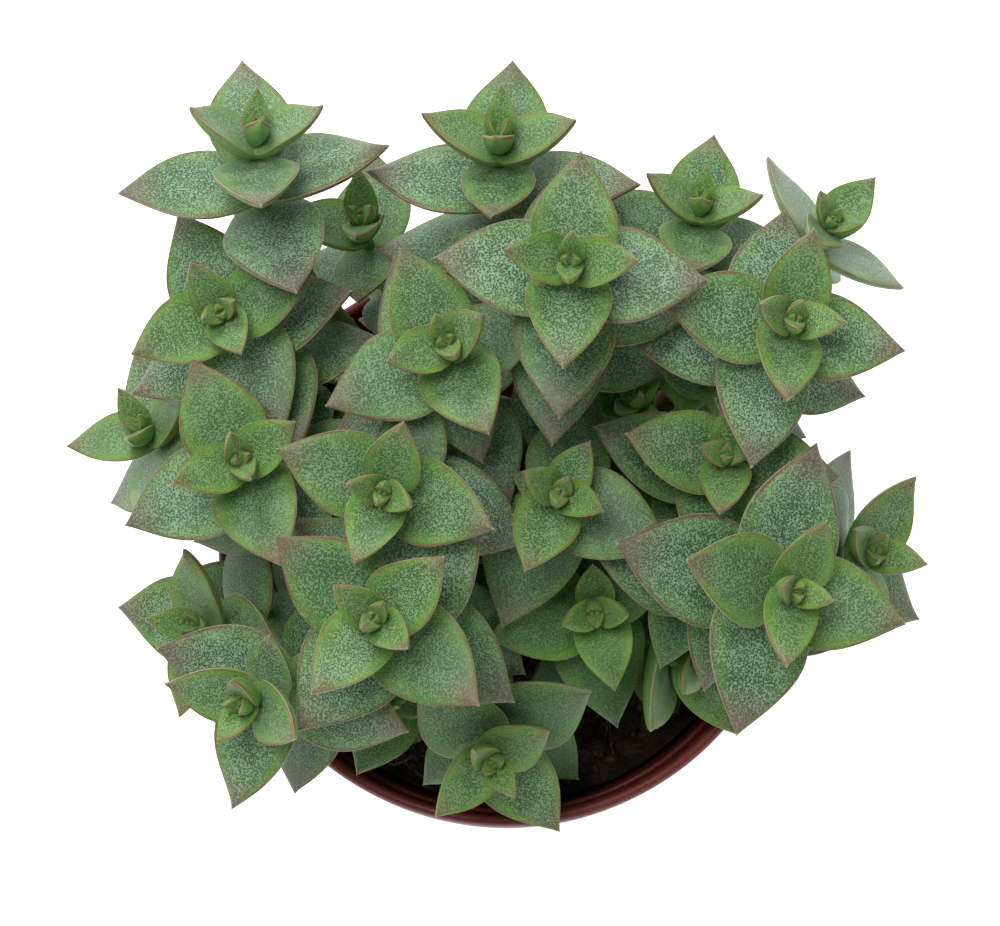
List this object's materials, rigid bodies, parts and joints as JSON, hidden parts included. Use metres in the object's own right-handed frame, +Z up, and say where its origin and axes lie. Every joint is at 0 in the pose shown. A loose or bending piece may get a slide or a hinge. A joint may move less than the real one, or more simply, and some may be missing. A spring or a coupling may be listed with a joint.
{
  "type": "potted jade plant",
  "caption": "Potted jade plant: crowded succulent shoots with opposite leaf pairs joined round their stems, in soil in a round tapered plastic pot.",
  "frame": {"origin": "centre of the flat pad under the pot, on the surface that the pot stands on", "axes": "+Z up along the pot's axis; -Y is the plant's front, nearest the viewer; +X is to the viewer's right"},
  "size_m": [0.1206, 0.1018, 0.1411],
  "materials": {
    "pot_plastic": "satin",
    "soil": "matte",
    "stem_bark": "matte",
    "leaf_green": "satin"
  },
  "bodies": {
    "root": {"pot": "pot_plastic", "potting_soil": "soil", "stem_01": "stem_bark", "stem_02": "stem_bark", "stem_03": "stem_bark", "stem_04": "stem_bark", "stem_05": "stem_bark", "stem_06": "stem_bark", "stem_07": "stem_bark", "stem_08": "stem_bark", "stem_09": "stem_bark", "stem_10": "stem_bark", "stem_11": "stem_bark", "stem_12": "stem_bark", "stem_13": "stem_bark", "stem_14": "stem_bark", "stem_15": "stem_bark", "stem_16": "stem_bark", "stem_17": "stem_bark", "stem_18": "stem_bark", "stem_19": "stem_bark", "stem_20": "stem_bark", "stem_21": "stem_bark", "stem_22": "stem_bark", "stem_23": "stem_bark", "stem_24": "stem_bark", "stem_25": "stem_bark", "leaves_01": "leaf_green", "leaves_02": "leaf_green", "leaves_03": "leaf_green", "leaves_04": "leaf_green", "leaves_05": "leaf_green", "leaves_06": "leaf_green", "leaves_07": "leaf_green", "leaves_08": "leaf_green", "leaves_09": "leaf_green", "leaves_10": "leaf_green", "leaves_11": "leaf_green", "leaves_12": "leaf_green", "leaves_13": "leaf_green", "leaves_14": "leaf_green", "leaves_15": "leaf_green", "leaves_16": "leaf_green", "leaves_17": "leaf_green", "leaves_18": "leaf_green", "leaves_19": "leaf_green", "leaves_20": "leaf_green", "leaves_21": "leaf_green", "leaves_22": "leaf_green", "leaves_23": "leaf_green", "leaves_24": "leaf_green", "leaves_25": "leaf_green"}
  },
  "joints": []
}
